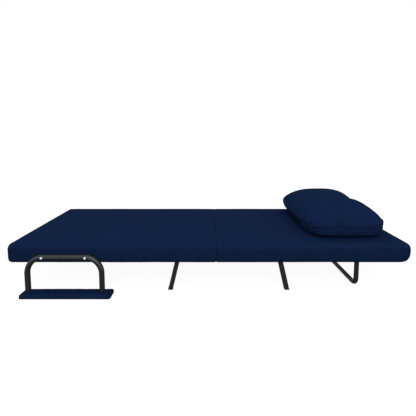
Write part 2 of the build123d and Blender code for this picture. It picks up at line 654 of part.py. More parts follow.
def weld_pad(side, x_low, x_high):
    """Packing piece between a rail and a plate that stands off it."""
    with Locations(((x_low + x_high) / 2.0, side * (HINGE_Y + MOVING_Y) / 2.0, WELD_MID)):
        Box(x_high - x_low, MOVING_Y - HINGE_Y, WELD_Z[1] - WELD_Z[0])


for side_name, side in SIDES.items():
    with BuildPart() as base_flip_plate:
        with BuildSketch(side_plane(side, HINGE_Y)):
            plate_hull(side, FLIP_X, FLIP_X + 15.0, FLIP_X + 70.0, EYE_R)
            pin_hole(side, FLIP_X, PIVOT_Z, PIN_R)
        extrude(amount=PLATE_T)
    write(base_flip_plate.part, f"base_flip_plate_{side_name}")

    with BuildPart() as foot_flip_plate:
        with BuildSketch(side_plane(side, MOVING_Y)):
            plate_hull(side, FLIP_X, FLIP_X - 15.0, FLIP_X - 70.0, EYE_R)
            pin_hole(side, FLIP_X, PIVOT_Z, PIN_R)
        extrude(amount=PLATE_T)
        weld_pad(side, FLIP_X - 70.0, FLIP_X - 30.0)
    write(foot_flip_plate.part, f"foot_flip_plate_{side_name}")

    with BuildPart() as back_arm:
        with BuildSketch(side_plane(side, MOVING_Y)):
            plate_hull(side, BACK_X, BACK_X + 14.0, BACK_X + 105.0, EYE_R)
            pin_hole(side, BACK_X, PIVOT_Z, PIN_R)
            pin_hole(side, PAWL_X, PAWL_Z, PAWL_PIN_R)
        extrude(amount=PLATE_T)
        weld_pad(side, BACK_X + 62.0, BACK_X + 105.0)
    write(back_arm.part, f"back_arm_{side_name}")

# Ratchet sectors on the base ----------------------------------------------------------------------
SECTOR_FROM = FIRST_NOTCH - 10.0
SECTOR_TO = FIRST_NOTCH + BACK_RANGE + 9.0
notch_step = BACK_RANGE / (NOTCHES - 1)


def polar(radius, angle):
    """Offsets along x and up from the back axis."""
    return radius * cos(radians(angle)), radius * sin(radians(angle))


for side_name, side in SIDES.items():
    with BuildPart() as ratchet:
        with BuildSketch(side_plane(side, HINGE_Y)):
            plate_hull(side, BACK_X, BACK_X - 15.0, BACK_X - 70.0, EYE_R)
            with BuildLine():
                start_dx, start_up = polar(SECTOR_R, SECTOR_FROM)
                middle_dx, middle_up = polar(SECTOR_R, (SECTOR_FROM + SECTOR_TO) / 2.0)
                stop_dx, stop_up = polar(SECTOR_R, SECTOR_TO)
                hub = (BACK_X, flip_z(side, PIVOT_Z))
                start = (BACK_X + start_dx, flip_z(side, PIVOT_Z + start_up))
                middle = (BACK_X + middle_dx, flip_z(side, PIVOT_Z + middle_up))
                stop = (BACK_X + stop_dx, flip_z(side, PIVOT_Z + stop_up))
                Line(hub, start)
                ThreePointArc(start, middle, stop)
                Line(stop, hub)
            make_face()
            for number in range(NOTCHES):
                angle = FIRST_NOTCH + number * notch_step
                dx, up = polar(SECTOR_R, angle)
                with Locations(Location((BACK_X + dx, flip_z(side, PIVOT_Z + up)), -side * angle)):
                    Rectangle(2 * NOTCH_DEPTH, NOTCH_W, mode=Mode.SUBTRACT)
            pin_hole(side, BACK_X, PIVOT_Z, PIN_R)
        extrude(amount=PLATE_T)
    write(ratchet.part, f"ratchet_sector_{side_name}")

# Pawls, drawn engaged in the first notch and then swung clear -------------------------------------
PAWL_T = 2.6
TOOTH_W = 3.6
TOOTH_TIP_R = SECTOR_R - 3.5
TOOTH_ROOT_R = SECTOR_R + 5.5
for side_name, side in SIDES.items():
    root_dx, root_up = polar(TOOTH_ROOT_R, FIRST_NOTCH)
    tooth_dx, tooth_up = polar((TOOTH_TIP_R + TOOTH_ROOT_R) / 2.0, FIRST_NOTCH)
    with BuildPart() as pawl:
        with BuildSketch(side_plane(side, HINGE_Y + 0.2)):
            with Locations((PAWL_X, flip_z(side, PAWL_Z))):
                Circle(5.0)
            with Locations((BACK_X + root_dx, flip_z(side, PIVOT_Z + root_up))):
                Circle(3.0)
            make_hull()
            with Locations(Location((BACK_X + tooth_dx, flip_z(side, PIVOT_Z + tooth_up)),
                                    -side * FIRST_NOTCH)):
                Rectangle(TOOTH_ROOT_R - TOOTH_TIP_R, TOOTH_W)
            pin_hole(side, PAWL_X, PAWL_Z, PAWL_PIN_R)
        extrude(amount=PAWL_T)
    swing_axis = Axis((PAWL_X, 0, PAWL_Z), (0, -1, 0))
    write(pawl.part.rotate(swing_axis, PAWL_SWING), f"pawl_{side_name}")

# Pins ---------------------------------------------------------------------------------------------
RIVET_HEAD_T = 2.4
AXIS_HEAD_R = 3.6
PAWL_HEAD_R = 3.4


def rivet(x, z, radius, head_r):
    """A headed pin through both plates, on both sides."""
    low = HINGE_Y - 0.1
    high = MOVING_Y + PLATE_T + 0.1
    with Locations(*both(x, (low + high) / 2.0, z)):
        Cylinder(radius, high - low, rotation=(90, 0, 0))
    with Locations(*both(x, low - RIVET_HEAD_T / 2.0, z), *both(x, high + RIVET_HEAD_T / 2.0, z)):
        Cylinder(head_r, RIVET_HEAD_T, rotation=(90, 0, 0))


with BuildPart() as flip_pins:
    rivet(FLIP_X, PIVOT_Z, PIN_R, AXIS_HEAD_R)
write(flip_pins.part, "flip_pins")

with BuildPart() as back_pins:
    rivet(BACK_X, PIVOT_Z, PIN_R, AXIS_HEAD_R)
write(back_pins.part, "back_pins")

with BuildPart() as pawl_pins:
    rivet(PAWL_X, PAWL_Z, PAWL_PIN_R, PAWL_HEAD_R)
write(pawl_pins.part, "pawl_pins")

# Pillow -------------------------------------------------------------------------------------------
PILLOW_ROUND = 48.0
PILLOW_SKIN = 1.5


def pillow_block(inset):
    """The pillow as a block with well rounded edges, drawn in by inset."""
    size_x = PILLOW_X[1] - PILLOW_X[0] - 2 * inset
    size_y = PILLOW_Y[1] - PILLOW_Y[0] - 2 * inset
    size_z = PILLOW_Z[1] - PILLOW_Z[0] - 2 * inset
    with BuildPart() as block:
        with Locations((sum(PILLOW_X) / 2.0, sum(PILLOW_Y) / 2.0, sum(PILLOW_Z) / 2.0)):
            Box(size_x, size_y, size_z)
        fillet(block.edges(), PILLOW_ROUND - inset)
    return block.part


pillow_outside = pillow_block(0.0)
pillow_inside = pillow_block(PILLOW_SKIN)
ZIP_LENGTH = 330.0
ZIP_W = 6.0
zip_x = sum(PILLOW_X) / 2.0
zip_z = sum(PILLOW_Z) / 2.0
with BuildPart() as pillow_cover:
    add(pillow_outside)
    add(pillow_inside, mode=Mode.SUBTRACT)
    with Locations((zip_x, PILLOW_Y[1], zip_z)):
        Box(ZIP_LENGTH, 8.0, ZIP_W, mode=Mode.SUBTRACT)
write(pillow_cover.part, "pillow_cover")

pillow_core = pillow_block(PILLOW_SKIN + 0.3)
with BuildPart() as pillow_filling:
    add(pillow_core)
write(pillow_filling.part, "pillow_filling")

with BuildPart() as pillow_zip:
    with Locations((zip_x, PILLOW_Y[1] - PILLOW_SKIN / 2.0, zip_z)):
        Box(ZIP_LENGTH - 0.2, PILLOW_SKIN, ZIP_W - 0.2)
write(pillow_zip.part, "pillow_zip")
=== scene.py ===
"""Futon sofa bed laid flat: navy woven upholstery on a satin black tube frame, with its pillow.

Each sub-assembly is a class with its sizes as fields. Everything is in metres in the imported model's frame:
+X towards the head end, +Z up, the floor at z = 0.
"""

import json
import logging
import math
from dataclasses import dataclass, field
from enum import Enum
from typing import Any, Callable, Iterable, Optional, Sequence

import bmesh
import bpy
from mathutils import Matrix, Vector, noise
from mathutils.bvhtree import BVHTree


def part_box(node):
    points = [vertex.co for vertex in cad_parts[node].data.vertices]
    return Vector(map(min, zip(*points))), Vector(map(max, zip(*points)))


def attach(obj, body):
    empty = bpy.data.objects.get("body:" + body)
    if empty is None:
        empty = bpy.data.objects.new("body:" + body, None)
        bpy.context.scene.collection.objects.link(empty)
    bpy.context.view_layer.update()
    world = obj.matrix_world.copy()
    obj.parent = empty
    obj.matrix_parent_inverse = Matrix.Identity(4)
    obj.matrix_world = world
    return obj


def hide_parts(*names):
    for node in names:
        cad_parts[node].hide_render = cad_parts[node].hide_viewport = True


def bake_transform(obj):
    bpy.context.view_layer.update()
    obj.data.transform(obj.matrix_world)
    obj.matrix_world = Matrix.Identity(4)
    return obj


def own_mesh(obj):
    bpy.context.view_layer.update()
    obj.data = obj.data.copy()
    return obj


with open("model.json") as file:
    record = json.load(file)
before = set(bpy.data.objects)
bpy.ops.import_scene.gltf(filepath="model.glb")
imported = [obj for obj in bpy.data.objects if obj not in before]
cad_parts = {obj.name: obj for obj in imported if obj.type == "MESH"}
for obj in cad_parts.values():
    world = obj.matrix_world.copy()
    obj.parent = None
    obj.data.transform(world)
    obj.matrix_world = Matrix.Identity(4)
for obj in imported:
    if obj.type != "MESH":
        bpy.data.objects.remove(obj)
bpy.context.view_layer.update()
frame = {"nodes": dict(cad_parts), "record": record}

LOG = logging.getLogger("sofa_bed")
Point = tuple[float, float, float]
MM = 0.001


# Shader sockets as numbers ------------------------------------------------------------------------
class Signal:
    """One value on its way through a material; arithmetic on it adds Math nodes."""

    def __init__(self, sheet: "Finisher", socket: bpy.types.NodeSocket) -> None:
        """Wrap a socket of the given sheet."""
        self.sheet = sheet
        self.socket = socket

    def _math(self, operation: str, *values: Any) -> "Signal":
        """Add one Math node whose inputs are the given values."""
        return self.sheet.node("ShaderNodeMath", {"operation": operation}, dict(enumerate(values)))

    def __add__(self, other: Any) -> "Signal":
        """Sum."""
        return self._math("ADD", self, other)

    __radd__ = __add__

    def __sub__(self, other: Any) -> "Signal":
        """Difference."""
        return self._math("SUBTRACT", self, other)

    def __rsub__(self, other: Any) -> "Signal":
        """Difference the other way round."""
        return self._math("SUBTRACT", other, self)

    def __mul__(self, other: Any) -> "Signal":
        """Product."""
        return self._math("MULTIPLY", self, other)

    __rmul__ = __mul__

    def __gt__(self, other: Any) -> "Signal":
        """One where this is greater, else zero."""
        return self._math("GREATER_THAN", self, other)

    def __abs__(self) -> "Signal":
        """Magnitude."""
        return self._math("ABSOLUTE", self)

    def sine(self) -> "Signal":
        """Sine of this value in radians."""
        return self._math("SINE", self)

    def between(self, low: float, high: float) -> "Signal":
        """Smooth rise from 0 at low to 1 at high."""
        return self.sheet.node(
            "ShaderNodeMapRange",
            {"interpolation_type": "SMOOTHSTEP"},
            {"Value": self, "From Min": low, "From Max": high},
        )


class Finisher:
    """A material under construction."""

    def __init__(self, name: str) -> None:
        """Start an empty node material.

        Args:
            name: the material's name.
        """
        self.material = bpy.data.materials.new(name)
        self.material.use_nodes = True
        self.tree = self.material.node_tree
        self.tree.nodes.clear()
        self.output = self.tree.nodes.new("ShaderNodeOutputMaterial")

    def node(self, kind: str, settings: dict[str, Any], inputs: dict[Any, Any], out: Any = 0) -> Signal:
        """Add one node of any type.

        Args:
            kind: Blender's name of the node type.
            settings: properties set before anything is linked; "stops" fills a colour ramp.
            inputs: socket name or number to a value, a colour or a Signal.
            out: which output to return.

        Returns:
            The chosen output as a Signal.
        """
        made = self.tree.nodes.new(kind)
        for key, value in settings.items():
            if key == "stops":
                self._fill_ramp(made.color_ramp, value)
            else:
                setattr(made, key, value)
        for key, value in inputs.items():
            if isinstance(value, Signal):
                self.tree.links.new(value.socket, made.inputs[key])
            else:
                made.inputs[key].default_value = value
        return Signal(self, made.outputs[out])

    @staticmethod
    def _fill_ramp(ramp: bpy.types.ColorRamp, stops: Sequence[tuple[float, Sequence[float]]]) -> None:
        """Give a ramp its stops, each a place and a colour."""
        while len(ramp.elements) < len(stops):
            ramp.elements.new(1.0)
        for element, (place, colour) in zip(ramp.elements, stops):
            element.position = place
            element.color = (*colour[:3], 1.0)

    def place(self) -> Signal:
        """Position on the object, in metres."""
        return self.node("ShaderNodeTexCoord", {}, {}, "Object")

    def facing(self) -> Signal:
        """Surface direction on the object."""
        return self.node("ShaderNodeTexCoord", {}, {}, "Normal")

    def split(self, vector: Signal) -> tuple[Signal, Signal, Signal]:
        """The three parts of a vector."""
        parts = self.node("ShaderNodeSeparateXYZ", {}, {0: vector})
        outputs = parts.socket.node.outputs
        return Signal(self, outputs[0]), Signal(self, outputs[1]), Signal(self, outputs[2])

    def join(self, x: Any, y: Any, z: Any) -> Signal:
        """A vector from three parts."""
        return self.node("ShaderNodeCombineXYZ", {}, {0: x, 1: y, 2: z})

    def noise(self, vector: Signal, scale: float, detail: float = 2.0, rough: float = 0.5) -> Signal:
        """Soft noise from 0 to 1."""
        return self.node(
            "ShaderNodeTexNoise", {}, {"Vector": vector, "Scale": scale, "Detail": detail, "Roughness": rough}
        )

    def blend(self, amount: Any, low: Sequence[float], high: Sequence[float]) -> Signal:
        """Mix two colours; either may be a Signal."""
        colours = [value if isinstance(value, Signal) else (*value[:3], 1.0) for value in (low, high)]
        return self.node(
            "ShaderNodeMix", {"data_type": "RGBA"}, {0: amount, 6: colours[0], 7: colours[1]}, 2
        )

    def bump(
        self, height: Signal, distance: float, strength: float = 1.0, under: Optional[Signal] = None
    ) -> Signal:
        """Surface relief from a height.

        Args:
            height: relief that runs from 0 to 1.
            distance: how far 1 stands out, in metres.
            strength: share of the relief that shows.
            under: relief that this one lies on.

        Returns:
            The bent surface direction.
        """
        inputs: dict[str, Any] = {"Height": height, "Distance": distance, "Strength": strength}
        if under is not None:
            inputs["Normal"] = under
        return self.node("ShaderNodeBump", {}, inputs)

    def surface(self, **inputs: Any) -> bpy.types.Material:
        """Close the material with one Principled shader.

        Args:
            **inputs: socket names with underscores for spaces, to values or Signals.

        Returns:
            The finished material.
        """
        named = {key.replace("_", " "): value for key, value in inputs.items()}
        shader = self.node("ShaderNodeBsdfPrincipled", {}, named)
        self.tree.links.new(shader.socket, self.output.inputs["Surface"])
        return self.material


# Finishes -----------------------------------------------------------------------------------------
@dataclass(frozen=True)
class WovenCloth:
    """Plain-woven navy polyester with the slubs of a linen look."""

    name: str = "navy_woven_cloth"
    shade: Point = (0.0038, 0.0109, 0.0360)
    light: Point = (0.0078, 0.0206, 0.0640)
    pitch: float = 1.3 * MM
    slub_length: float = 16.0 * MM
    mottle_size: float = 0.11

    def material(self) -> bpy.types.Material:
        """Build the cloth: threads over and under with painted shade where they dip, thick slubs, and slow
        unevenness of the dye.
        """
        sheet = Finisher(self.name)
        place = sheet.place()
        x, y, z = sheet.split(place)
        face_x, face_y, face_z = (abs(part) for part in sheet.split(sheet.facing()))
        flat = face_z > 0.66
        end_on = (1 - flat) * (face_x > face_y)
        along = x * (1 - end_on) + y * end_on
        across = y * flat + z * (1 - flat)
        turn = math.pi / self.pitch
        warp_wave = (along * turn).sine()
        weft_wave = (across * turn).sine()
        warp = abs(weft_wave) * (abs(warp_wave) * 0.4 + 0.6)
        weft = abs(warp_wave) * (abs(weft_wave) * 0.4 + 0.6)
        over = (warp_wave * weft_wave) > 0
        thread = over * warp + (1 - over) * weft
        long_way = 1.0 / self.slub_length
        thin_way = 1.0 / (2.2 * self.pitch)
        slub_warp = sheet.noise(sheet.join(along * long_way, across * thin_way, 0.0), 1.0, 3.0, 0.6)
        slub_weft = sheet.noise(sheet.join(along * thin_way, across * long_way, 7.0), 1.0, 3.0, 0.6)
        slub = (slub_warp + slub_weft) * 0.5
        mottle = sheet.noise(place, 1.0 / self.mottle_size, 3.0, 0.55)
        # The thread term darkens the colour where the threads dip under, which is painted shade in the weave;
        # slub and mottle are the yarn's and the dye's own tone.
        tone = thread * 0.32 + slub.between(0.36, 0.64) * 0.40 + mottle * 0.28
        colour = sheet.blend(tone, self.shade, self.light)
        relief = sheet.bump(thread, 0.35 * MM, 0.45, sheet.bump(slub, 0.9 * MM, 0.35))
        return sheet.surface(
            Base_Color=colour,
            Roughness=0.80 + slub * 0.12,
            Normal=relief,
            Specular_IOR_Level=0.0,
            Sheen_Weight=0.012,
            Sheen_Roughness=0.40,
            Sheen_Tint=(0.25, 0.45, 0.90, 1.0),
        )


@dataclass(frozen=True)
class Thread:
    """Sewing thread, a shade lighter than the cloth."""

    name: str = "navy_thread"
    colour: Point = (0.0050, 0.0150, 0.0480)
    twist: float = 0.7 * MM

    def material(self) -> bpy.types.Material:
        """Build the twisted thread, with painted shade in the grooves of its twist."""
        sheet = Finisher(self.name)
        x, y, z = sheet.split(sheet.place())
        strand = abs(((x + y + z) * (math.pi / self.twist)).sine())
        # Darker in the grooves of the twist: painted shade.
        colour = sheet.blend(strand, [part * 0.6 for part in self.colour], self.colour)
        return sheet.surface(
            Base_Color=colour, Roughness=0.55, Normal=sheet.bump(strand, 0.15 * MM, 0.5),
            Specular_IOR_Level=0.05
        )


@dataclass(frozen=True)
class PowderCoat:
    """Satin powder coat on steel, a little rubbed where it is handled."""

    name: str = "satin_black_coat"
    colour: Point = (0.0160, 0.0166, 0.0190)
    rubbed: Point = (0.026, 0.027, 0.030)
    gloss: float = 0.34

    def material(self) -> bpy.types.Material:
        """Build the coat with its fine orange peel."""
        sheet = Finisher(self.name)
        place = sheet.place()
        peel = sheet.noise(place, 900.0, 2.0, 0.5)
        cloud = sheet.noise(place, 14.0, 4.0, 0.6)
        scuff = sheet.noise(place, 120.0, 5.0, 0.7).between(0.60, 0.74) * cloud.between(0.45, 0.7)
        colour = sheet.blend(scuff * 0.5, self.colour, self.rubbed)
        return sheet.surface(
            Base_Color=colour,
            Roughness=self.gloss + cloud * 0.10 + scuff * 0.12,
            Normal=sheet.bump(peel, 0.12 * MM, 0.30),
            Specular_IOR_Level=0.5,
            Coat_Weight=0.15,
            Coat_Roughness=0.25,
        )


@dataclass(frozen=True)
class Moulded:
    """Injection-moulded plastic with a spark-eroded grain."""

    name: str
    colour: Point
    gloss: float
    grain: float = 0.10 * MM

    def material(self) -> bpy.types.Material:
        """Build the plastic."""
        sheet = Finisher(self.name)
        place = sheet.place()
        grain = sheet.noise(place, 2200.0, 3.0, 0.6)
        cloud = sheet.noise(place, 60.0, 2.0, 0.5)
        colour = sheet.blend(cloud, [part * 0.90 for part in self.colour], self.colour)
        return sheet.surface(
            Base_Color=colour, Roughness=self.gloss + cloud * 0.08,
            Normal=sheet.bump(grain, self.grain, 0.4),
        )


@dataclass(frozen=True)
class ZincPlate:
    """Bright zinc on bolts, nuts and stamped plates."""

    name: str = "zinc_plate"

    def material(self) -> bpy.types.Material:
        """Build the plating with rolling marks and faint spangle."""
        sheet = Finisher(self.name)
        x, y, z = sheet.split(sheet.place())
        rolled = sheet.noise(sheet.join(x * 40.0, y * 40.0, z * 1500.0), 1.0, 3.0, 0.6)
        spangle = sheet.noise(sheet.place(), 260.0, 2.0, 0.5)
        colour = sheet.blend(spangle, (0.42, 0.42, 0.41), (0.62, 0.62, 0.63))
        return sheet.surface(
            Base_Color=colour, Metallic=1.0, Roughness=0.30 + rolled * 0.18,
            Normal=sheet.bump(rolled, 0.05 * MM, 0.3),
        )


@dataclass(frozen=True)
class Foam:
    """Open-cell foam."""

    name: str = "open_cell_foam"

    def material(self) -> bpy.types.Material:
        """Build the foam with its cells."""
        sheet = Finisher(self.name)
        place = sheet.place()
        cells = sheet.node("ShaderNodeTexVoronoi", {}, {"Vector": place, "Scale": 500.0})
        tint = sheet.noise(place, 9.0, 3.0, 0.5)
        colour = sheet.blend(tint, (0.62, 0.55, 0.36), (0.78, 0.72, 0.52))
        return sheet.surface(Base_Color=colour, Roughness=0.95, Normal=sheet.bump(cells, 1.0 * MM, 0.6))


@dataclass(frozen=True)
class Webbing:
    """Black elastic webbing with ribs along it."""

    name: str = "elastic_webbing"

    def material(self) -> bpy.types.Material:
        """Build the ribbed strap, with painted shade in the dips between its ribs."""
        sheet = Finisher(self.name)
        x, y, _ = sheet.split(sheet.place())
        ribs = abs((x * (math.pi / (2.5 * MM))).sine())
        picks = abs((y * (math.pi / (1.4 * MM))).sine())
        weave = ribs * 0.6 + picks * 0.4
        # Darker in the dips between ribs and picks: painted shade.
        colour = sheet.blend(weave, (0.015, 0.015, 0.016), (0.05, 0.05, 0.052))
        return sheet.surface(Base_Color=colour, Roughness=0.8, Normal=sheet.bump(weave, 0.5 * MM, 0.6))


@dataclass(frozen=True)
class Plywood:
    """Sanded plywood."""

    name: str = "plywood"

    def material(self) -> bpy.types.Material:
        """Build the board with its grain running along X."""
        sheet = Finisher(self.name)
        x, y, z = sheet.split(sheet.place())
        grain = sheet.noise(sheet.join(x * 6.0, y * 160.0, z * 160.0), 1.0, 5.0, 0.6)
        colour = sheet.blend(grain, (0.40, 0.25, 0.12), (0.66, 0.48, 0.28))
        return sheet.surface(Base_Color=colour, Roughness=0.65, Normal=sheet.bump(grain, 0.3 * MM, 0.4))


@dataclass(frozen=True)
class StudioFloor:
    """Seamless pale floor, lit from within so that it stays clean and pale under the bed."""

    name: str = "studio_floor"

    def material(self) -> bpy.types.Material:
        """Build the floor."""
        sheet = Finisher(self.name)
        tone = sheet.noise(sheet.place(), 3.0, 2.0, 0.5)
        colour = sheet.blend(tone, (0.13, 0.13, 0.13), (0.15, 0.15, 0.15))
        return sheet.surface(
            Base_Color=colour, Roughness=0.95, Specular_IOR_Level=0.0, Emission_Color=(1.0, 1.0, 1.0, 1.0),
            Emission_Strength=0.93,
        )


class Finishes:
    """Every finish of the sofa bed, built once."""

    def __init__(self) -> None:
        """Build the materials."""
        self.cloth = WovenCloth().material()
        self.thread = Thread().material()
        self.coat = PowderCoat().material()
        self.black_plastic = Moulded("black_plastic", (0.014, 0.014, 0.015), 0.50).material()
        self.cap_plastic = Moulded("pale_cap_plastic", (0.93, 0.94, 0.95), 0.28).material()
        self.zinc = ZincPlate().material()
        self.foam = Foam().material()
        self.webbing = Webbing().material()
        self.plywood = Plywood().material()
        self.floor = StudioFloor().material()

    def by_slot(self) -> dict[str, bpy.types.Material]:
        """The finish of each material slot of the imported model."""
        return {
            "mattress_fabric": self.cloth,
            "pad_fabric": self.cloth,
            "pillow_fabric": self.cloth,
            "foam": self.foam,
            "webbing": self.webbing,
            "board": self.plywood,
            "black_plastic": self.black_plastic,
            "white_plastic": self.cap_plastic,
            "zip": self.black_plastic,
            "zinc_steel": self.zinc,
            "black_steel": self.coat,
        }


# Mesh helpers -------------------------------------------------------------------------------------
def new_piece(
    name: str, points: Iterable[Point], faces: Iterable[Sequence[int]], finish: bpy.types.Material
) -> bpy.types.Object:
    """Make a smooth-shaded piece from points and faces.

    Args:
        name: the piece's name.
        points: corners in metres.
        faces: corner numbers of each face.
        finish: its material.

    Returns:
        The new object, linked into the scene.
    """
    mesh = bpy.data.meshes.new(name)
    mesh.from_pydata(list(points), [], list(faces))
    mesh.validate()
    work = bmesh.new()
    work.from_mesh(mesh)
    bmesh.ops.recalc_face_normals(work, faces=work.faces)
    work.to_mesh(mesh)
    work.free()
    mesh.shade_smooth()
    mesh.materials.append(finish)
    piece = bpy.data.objects.new(name, mesh)
    bpy.context.scene.collection.objects.link(piece)
    return piece


def loft(rings: Sequence[Sequence[Point]]) -> tuple[list[Point], list[list[int]]]:
    """Join rings of equal length into a closed skin with flat ends.

    Args:
        rings: closed rings in order.

    Returns:
        Points and faces.
    """
    count = len(rings[0])
    points = [point for ring in rings for point in ring]
    faces = []
    for row in range(len(rings) - 1):
        for i in range(count):
            j = (i + 1) % count
            faces.append([row * count + i, row * count + j, (row + 1) * count + j, (row + 1) * count + i])
    faces.append(list(range(count))[::-1])
    last = (len(rings) - 1) * count
    faces.append(list(range(last, last + count)))
    return points, faces


def ramp(value: float, low: float, high: float) -> float:
    """Smooth rise from 0 at low to 1 at high."""
    t = min(1.0, max(0.0, (value - low) / (high - low)))
    return t * t * (3.0 - 2.0 * t)


def bell(distance: float, width: float) -> float:
    """Bell curve: 1 at no distance, falling to about a third at the width."""
    return math.exp(-((distance / width) ** 2))


def ripple(x: float, y: float, z: float, seed: float) -> float:
    """Smooth noise from -1 to 1 at a place, different for each seed."""
    return noise.noise(Vector((x + 17.3 * seed, y - 9.1 * seed, z + 4.7 * seed)))


def bake(piece: bpy.types.Object, modifier: bpy.types.Modifier) -> None:
    """Apply one modifier by taking the evaluated mesh."""
    bpy.context.view_layer.update()
    graph = bpy.context.evaluated_depsgraph_get()
    mesh = bpy.data.meshes.new_from_object(piece.evaluated_get(graph))
    piece.modifiers.remove(modifier)
    old = piece.data
    piece.data = mesh
    bpy.data.meshes.remove(old)


@dataclass(frozen=True)
class Inflation:
    """Cloth simulation of a stuffed piece, run once and applied."""

    voxel: float
    pressure: float
    cap: float
    frames: int = 20
    stiffness: float = 15.0

    def run(self, piece: bpy.types.Object) -> None:
        """Remesh the piece, blow it up a little and keep the result.

        Args:
            piece: the stuffed piece before the stuffing pushes it out.
        """
        remesh = piece.modifiers.new("even_cells", "REMESH")
        remesh.mode = "VOXEL"
        remesh.voxel_size = self.voxel
        remesh.use_smooth_shade = True
        bake(piece, remesh)
        start = [(vertex.co.copy(), vertex.normal.copy()) for vertex in piece.data.vertices]
        cloth = piece.modifiers.new("stuffing", "CLOTH")
        settings = cloth.settings
        settings.quality = 4
        settings.mass = 0.3
        settings.tension_stiffness = self.stiffness
        settings.compression_stiffness = self.stiffness
        settings.shear_stiffness = self.stiffness * 0.4
        settings.bending_stiffness = 0.4
        settings.use_pressure = True
        settings.uniform_pressure_force = self.pressure
        settings.effector_weights.gravity = 0.0
        cloth.collision_settings.use_collision = False
        cloth.point_cache.frame_start = 1
        cloth.point_cache.frame_end = self.frames
        scene = bpy.context.scene
        for number in range(1, self.frames + 1):
            scene.frame_set(number)
        bake(piece, cloth)
        scene.frame_set(1)
        for vertex, (origin, outward) in zip(piece.data.vertices, start):
            travel = vertex.co - origin
            travel -= outward * min(0.0, travel.dot(outward))
            vertex.co = origin + travel
            if travel.length > self.cap:
                vertex.co = origin + travel * (self.cap / travel.length)


def refine(piece: bpy.types.Object) -> None:
    """Subdivide a finished piece once."""
    modifier = piece.modifiers.new("finer", "SUBSURF")
    modifier.levels = 1
    bake(piece, modifier)
    piece.data.shade_smooth()


def reshape(piece: bpy.types.Object, move: Callable[[Vector], Vector]) -> None:
    """Move every point of a piece by a function of its place."""
    for vertex in piece.data.vertices:
        vertex.co = move(vertex.co)
    piece.data.update()


# Mattress -----------------------------------------------------------------------------------------
class End(Enum):
    """How one end of a cover is finished."""

    SQUARE = "square"
    BULLNOSE = "bullnose"
    SEAM = "seam"
    FOLD = "fold"


